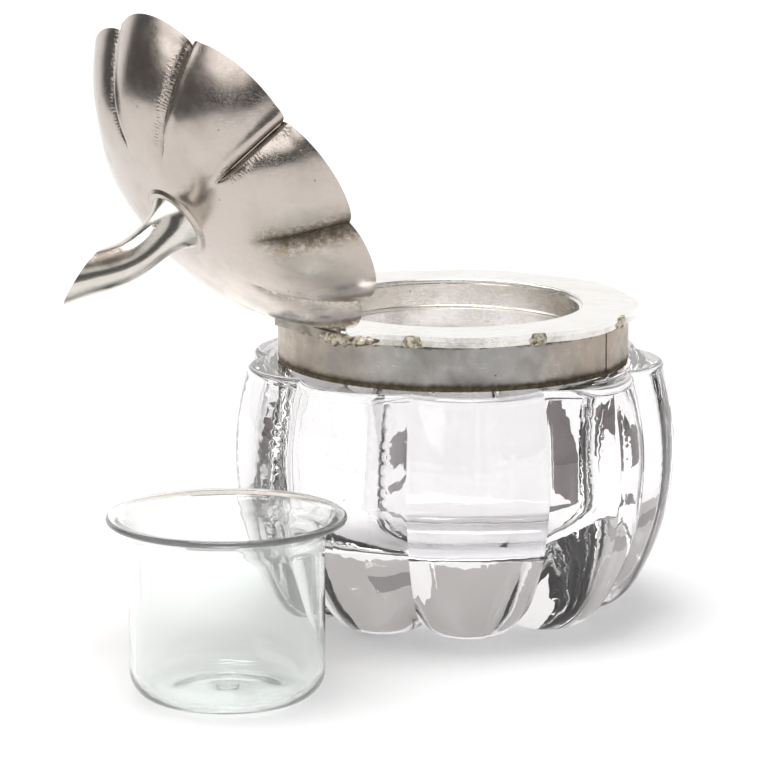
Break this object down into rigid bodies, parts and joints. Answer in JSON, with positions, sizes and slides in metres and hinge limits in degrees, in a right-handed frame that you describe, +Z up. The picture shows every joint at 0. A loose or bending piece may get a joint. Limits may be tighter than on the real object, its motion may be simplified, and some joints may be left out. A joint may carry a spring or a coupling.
{
  "type": "dappen dish",
  "caption": "Melon-lobed clear glass dappen dish with a silver collar, hinged lobed lid with a stem handle, and a loose glass liner cup.",
  "frame": {"origin": "centre of the jar's ground base, on the table", "axes": "+Z up; -Y towards the front, with the lid's hinge at the front left and the loose liner standing in front of it"},
  "size_m": [0.1079, 0.1235, 0.1141],
  "materials": {
    "glass_body": "clear, polished",
    "glass_liner": "clear, thin, polished",
    "neck_cement": "dull plaster, stained",
    "collar_band": "satin silver, tarnished at its lower edge",
    "rim_plate": "polished silver, worn",
    "edge_moulding": "satin silver, tarnished",
    "liner_seat": "satin silver",
    "inner_sleeve": "satin silver",
    "sleeve_bead": "polished silver",
    "notch_solder": "rough solder",
    "hinge_bracket": "rough, tarnished silver",
    "hinge_pin": "worn",
    "lid_shell": "satin silver, finely scratched",
    "lid_leaf": "rough, tarnished silver",
    "lid_stem": "polished silver",
    "stem_solder": "porous solder"
  },
  "bodies": {
    "jar": {"glass_body": "glass_body", "neck_cement": "neck_cement", "collar_band": "collar_band", "rim_plate": "rim_plate", "edge_moulding": "edge_moulding", "liner_seat": "liner_seat", "inner_sleeve": "inner_sleeve", "sleeve_bead": "sleeve_bead", "notch_solder": "notch_solder", "hinge_bracket": "hinge_bracket", "hinge_pin": "hinge_pin"},
    "lid": {"lid_shell": "lid_shell", "lid_leaf": "lid_leaf", "lid_stem": "lid_stem", "stem_solder": "stem_solder"},
    "liner": {"glass_liner": "glass_liner"}
  },
  "joints": [
    {"name": "lid_hinge", "type": "hinge", "parent": "jar", "child": "lid", "pos_m": [-0.02588, -0.01915, 0.057], "axis": [0.5948, -0.8039, 0], "range_deg": [-121.5, 0]},
    {"name": "liner_lift", "type": "slide", "parent": "jar", "child": "liner", "axis": [0, 0, 1], "range_m": [0, 0.02]}
  ]
}
